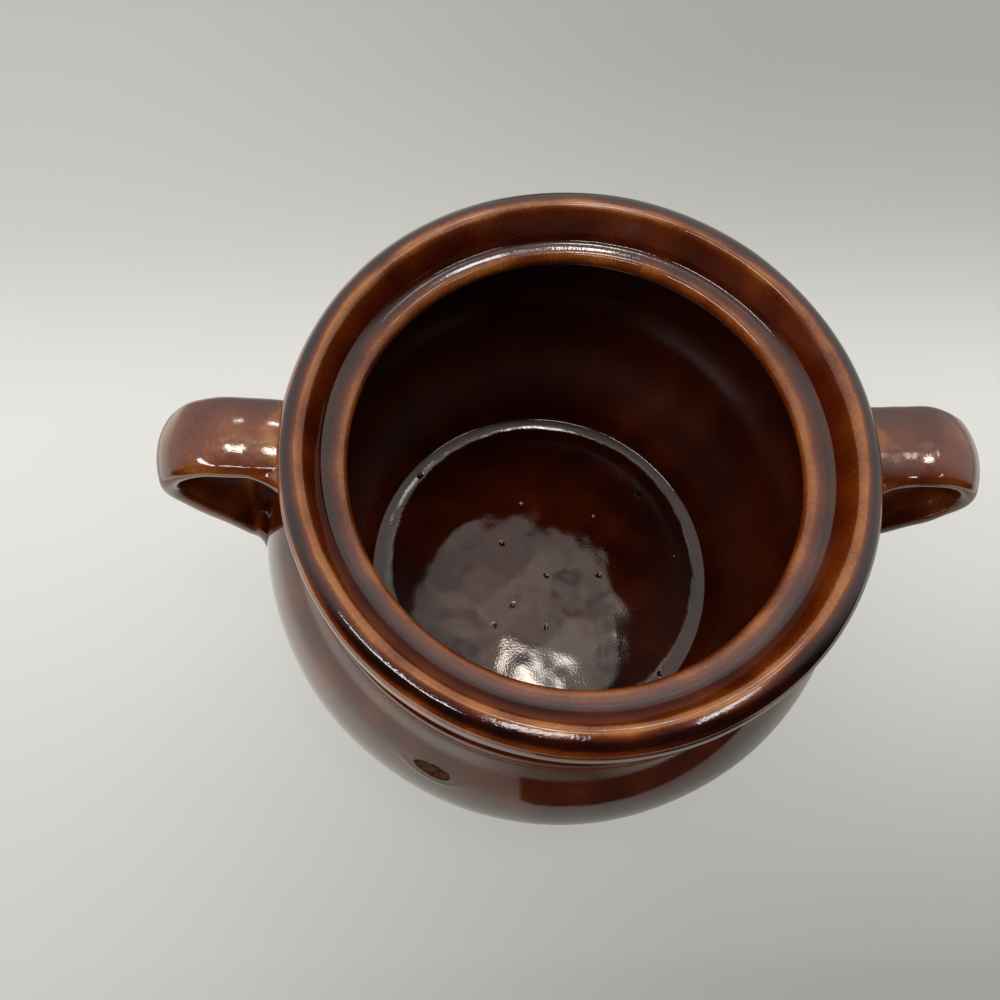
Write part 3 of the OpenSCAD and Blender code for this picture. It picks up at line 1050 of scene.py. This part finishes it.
# Lamps: azimuth from the back to the right, elevation, roll, width, height, brightness, and if mirrored
LAMPS = [
    ("left_window", -124.0, 62.0, 20.0, 0.54, 0.07, 15.0, True),
    ("front_window", 180.0, 70.0, 0.0, 0.30, 0.05, 13.0, True),
    ("right_window", 121.5, 58.0, -22.0, 0.25, 0.025, 19.0, True),
    ("back_window", 13.6, 54.5, 0.0, 0.045, 0.10, 24.0, True),
    ("back_pane", 4.0, 56.0, 0.0, 0.09, 0.09, 13.0, True),
    ("left_fill", -108.0, 38.0, 0.0, 1.2, 0.8, 2.0, False),
]


def heading_to(azimuth, elevation):
    """Direction at an azimuth, taken from the back to the right, and an elevation, both in degrees."""
    a, e = math.radians(azimuth), math.radians(elevation)
    return Vector((math.sin(a) * math.cos(e), math.cos(a) * math.cos(e), math.sin(e)))


def add_lamp(name, azimuth, elevation, roll, width, height, brightness, mirrored):
    """Four-sided lamp that faces the pot."""
    way = heading_to(azimuth, elevation)
    light = bpy.data.lights.new(name, "AREA")
    light.shape = "RECTANGLE"
    light.size, light.size_y = width, height
    light.energy = brightness * width * height * math.pi
    lamp = bpy.data.objects.new(name, light)
    lamp.location = Vector((0.0, 0.0, LAMP_AIM)) + way * LAMP_AWAY
    tilt = Quaternion((0.0, 0.0, 1.0), math.radians(roll))
    lamp.rotation_euler = (way.to_track_quat("Z", "Y") @ tilt).to_euler()
    lamp.visible_camera = False
    lamp.visible_glossy = mirrored
    bpy.context.scene.collection.objects.link(lamp)


def glow(nodes, way, azimuth, elevation, inner, outer, level):
    """Brightness of a soft-edged round patch of the room, by the angle from its middle."""
    dot = nodes.add("ShaderNodeVectorMath", operation="DOT_PRODUCT")
    nodes.feed(dot.inputs[0], way)
    nodes.feed(dot.inputs[1], heading_to(azimuth, elevation))
    share = nodes.step(dot.outputs["Value"], math.cos(math.radians(outer)), math.cos(math.radians(inner)))
    return nodes.math("MULTIPLY", share, level)


# Soft patches of the room: azimuth from the back to the right, elevation, inner and outer angle, brightness
ROOM_PATCHES = [
    (0.0, 0.0, 84.0, 115.0, 0.85),
    (40.0, 83.0, 4.0, 16.0, 0.42),
    (65.0, 84.5, 2.5, 4.5, 14.5),
    (70.0, 70.0, 1.5, 4.0, 6.0),
]
ROOM_DIM = 0.02
ROOM_TINT = (1.0, 0.965, 0.92, 1.0)
# Where overhead the room is cloudy: azimuth, elevation, inner and outer angle, and how far
CLOUDY = (40.0, 83.0, 8.0, 18.0, 1.0)
# Fineness of the clouds, how far they range in brightness, the least of it, and where they turn brown
ROOM_CLOUD_SCALE = 13.0
CLOUD_RANGE = 4.0
CLOUD_LEAST = -0.8
BROWN_FROM = (0.40, 0.58)
CLOUD_TINT = (1.0, 0.86, 0.72, 1.0)
# Colour of the room past the table, as the camera sees it
PLAIN_WALL = (0.60, 0.60, 0.57, 1.0)


def light_scene():
    """Soft room light: pale towards the back, with brighter patches and clouds overhead, and the lamps."""
    world = bpy.data.worlds.new("room")
    world.use_nodes = True
    bpy.context.scene.world = world
    nodes = Nodes(world.node_tree)
    way = nodes.add("ShaderNodeTexCoord").outputs["Generated"]
    total = ROOM_DIM
    for patch in ROOM_PATCHES:
        total = nodes.math("ADD", glow(nodes, way, *patch), total)
    patchy = nodes.add("ShaderNodeTexNoise")
    nodes.feed(patchy.inputs["Vector"], way)
    nodes.feed(patchy.inputs["Scale"], ROOM_CLOUD_SCALE)
    noise = patchy.outputs["Fac"]
    cloudy = glow(nodes, way, *CLOUDY)
    patches = nodes.math("MAXIMUM", nodes.centred(noise, CLOUD_RANGE), CLOUD_LEAST)
    brightness = nodes.math("MULTIPLY", total, nodes.math("MULTIPLY_ADD", cloudy, patches, 1.0))
    brown = nodes.math("MULTIPLY", cloudy, nodes.step(noise, *BROWN_FROM))
    room = nodes.add("ShaderNodeBackground")
    nodes.feed(room.inputs["Color"], nodes.mix("MIX", brown, ROOM_TINT, CLOUD_TINT))
    nodes.feed(room.inputs["Strength"], brightness)
    wall = nodes.add("ShaderNodeBackground")
    nodes.feed(wall.inputs["Color"], PLAIN_WALL)
    seen = nodes.add("ShaderNodeLightPath").outputs["Is Camera Ray"]
    shown = nodes.blend(seen, room.outputs["Background"], wall.outputs["Background"])
    nodes.feed(nodes.add("ShaderNodeOutputWorld").inputs["Surface"], shown)
    for lamp in LAMPS:
        add_lamp(*lamp)


# Where the camera stood, from a fit of the rim, seat, throat and floor to the photo
CAMERA_PLACE = (-42.3, -107.5, 381.2)
CAMERA_FORWARD = (0.0722, 0.3388, -0.9381)
CAMERA_RIGHT = (0.9973, -0.0141, 0.0716)
CAMERA_LENS = 39.6
CAMERA_SENSOR = 36.0
CAMERA_NEAR = 0.01


def place_camera():
    """Camera at the photo's angle."""
    ahead = Vector(CAMERA_FORWARD).normalized()
    right = Vector(CAMERA_RIGHT)
    right = (right - right.dot(ahead) * ahead).normalized()
    up = right.cross(ahead)
    turn = Matrix((right, up, -ahead)).transposed().to_4x4()
    lens = bpy.data.cameras.new("camera")
    lens.lens = CAMERA_LENS
    lens.sensor_width = CAMERA_SENSOR
    lens.clip_start = CAMERA_NEAR
    camera = bpy.data.objects.new("camera", lens)
    camera.matrix_world = Matrix.Translation(Vector(CAMERA_PLACE) * MM) @ turn
    bpy.context.scene.collection.objects.link(camera)
    bpy.context.scene.camera = camera


bpy.context.scene.view_settings.view_transform = "Standard"
body_glaze = glaze("body_glaze", mottle=0.22, ior=1.64)
handle_glaze = glaze("handle_glaze", mottle=0.30, ior=1.75)
pot_section = build_pot([body_glaze, bare_clay(), chipped_clay()])
for name, side, node, shape in HANDLES:
    build_handle(name, side, node, shape, pot_section, [handle_glaze])
build_stage()
light_scene()
place_camera()
